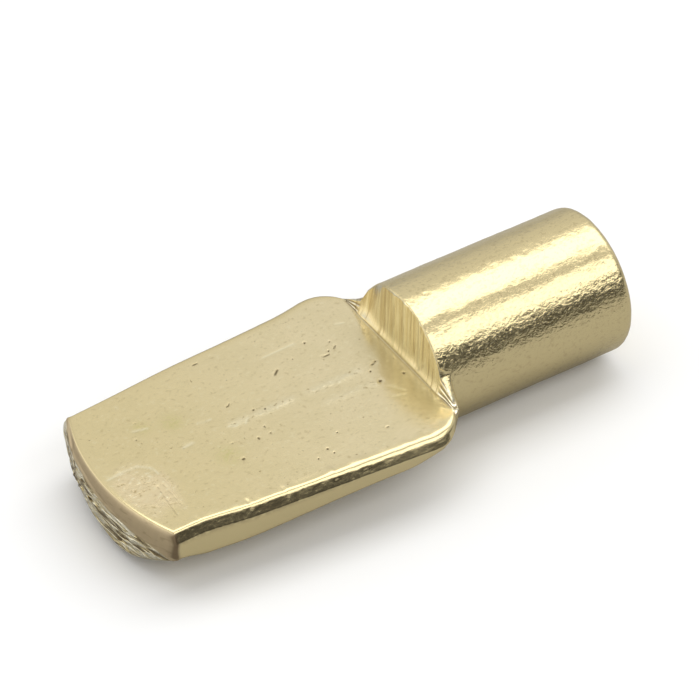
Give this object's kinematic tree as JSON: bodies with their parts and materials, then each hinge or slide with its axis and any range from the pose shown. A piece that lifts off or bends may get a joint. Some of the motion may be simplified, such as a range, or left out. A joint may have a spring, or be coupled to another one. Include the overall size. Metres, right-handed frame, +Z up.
{
  "type": "shelf support pin",
  "caption": "Round pin with a flat spoon on its end: the pin plugs into a hole in a cabinet side and the spoon carries the shelf.",
  "frame": {"origin": "on the pin's axis, in the plane of the shoulders that stop against the cabinet side", "axes": "+X along the pin to its free end, +Z up out of the shelf seat"},
  "size_m": [0.0236, 0.01, 0.0062],
  "materials": {
    "brass_plating": "bright brass plating over cold pressed steel, lightly pitted, with a sheared tip"
  },
  "bodies": {
    "root": {"support_pin": "brass_plating"}
  },
  "joints": []
}
